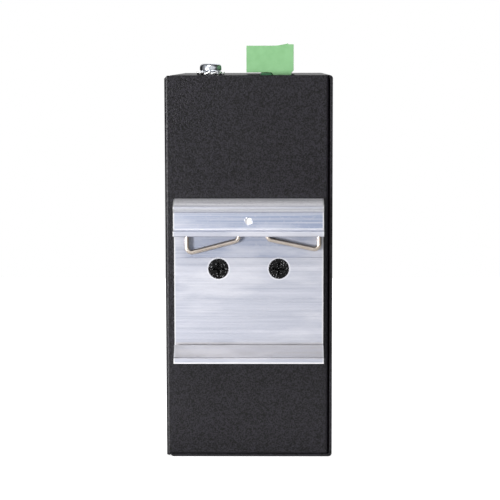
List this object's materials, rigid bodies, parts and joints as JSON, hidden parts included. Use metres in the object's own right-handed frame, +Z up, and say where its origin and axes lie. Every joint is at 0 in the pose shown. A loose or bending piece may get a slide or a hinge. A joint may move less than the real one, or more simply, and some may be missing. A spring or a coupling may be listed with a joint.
{
  "type": "din rail ethernet switch",
  "caption": "Slim upright ethernet switch in a folded steel case with an aluminium rail clip on its back, network jacks in front and a pluggable power terminal on top.",
  "frame": {"origin": "centre of the whole object's bounding box at its lower face", "axes": "+Z up along the height; +Y out of the front with the network jacks; -Y out of the back with the rail clip; +X to the right as the back is seen in the picture"},
  "size_m": [0.05, 0.0976, 0.1243],
  "materials": {
    "black_coat": "fine matt powder coat",
    "black_steel": "black plated, satin",
    "clip_aluminium": "satin anodised",
    "spring_wire": "bright nickel plate",
    "zinc_steel": "bright zinc plate",
    "board_green": "satin solder mask",
    "dark_green_plastic": "moulded, satin",
    "light_green_plastic": "moulded, satin",
    "tinned_brass": "tin plate",
    "gold_contact": "gold plate",
    "black_plastic": "moulded, satin",
    "lamp_plastic": "milky, gloss",
    "shield_steel": "bright nickel plate",
    "chip_plastic": "matt",
    "pad_rubber": "soft matt",
    "sink_aluminium": "black anodised",
    "capacitor_can": "sleeved can",
    "ferrite": "matt",
    "relay_plastic": "gloss",
    "coated_disc": "dipped coat"
  },
  "bodies": {
    "switch": {"cover": "black_coat", "tray": "black_coat", "cover_screws": "black_steel", "din_clip": "clip_aluminium", "clip_spring": "spring_wire", "clip_screws": "black_steel", "clip_nuts": "zinc_steel", "ground_screw": "zinc_steel", "ground_lock_washer": "zinc_steel", "ground_nut": "zinc_steel", "main_board": "board_green", "board_standoffs": "zinc_steel", "board_screws": "zinc_steel", "power_header": "dark_green_plastic", "header_pins": "tinned_brass", "jack_housing": "black_plastic", "port_lamps": "lamp_plastic", "jack_contacts": "gold_contact", "jack_shell": "shield_steel", "lamp_holder": "black_plastic", "status_lamps": "lamp_plastic", "switch_chip": "chip_plastic", "thermal_pad": "pad_rubber", "heat_sink": "sink_aluminium", "line_transformers": "black_plastic", "filter_capacitors": "capacitor_can", "power_inductor": "ferrite", "alarm_relay": "relay_plastic", "surge_absorbers": "coated_disc", "clock_crystal": "shield_steel", "regulator_chips": "chip_plastic"},
    "plug": {"power_plug": "light_green_plastic", "plug_clamps": "zinc_steel", "plug_clamp_screws": "zinc_steel", "plug_contacts": "tinned_brass"}
  },
  "joints": [
    {"name": "plug_slide", "type": "slide", "parent": "switch", "child": "plug", "axis": [0, 0, 1], "range_m": [0, 0.009]}
  ]
}
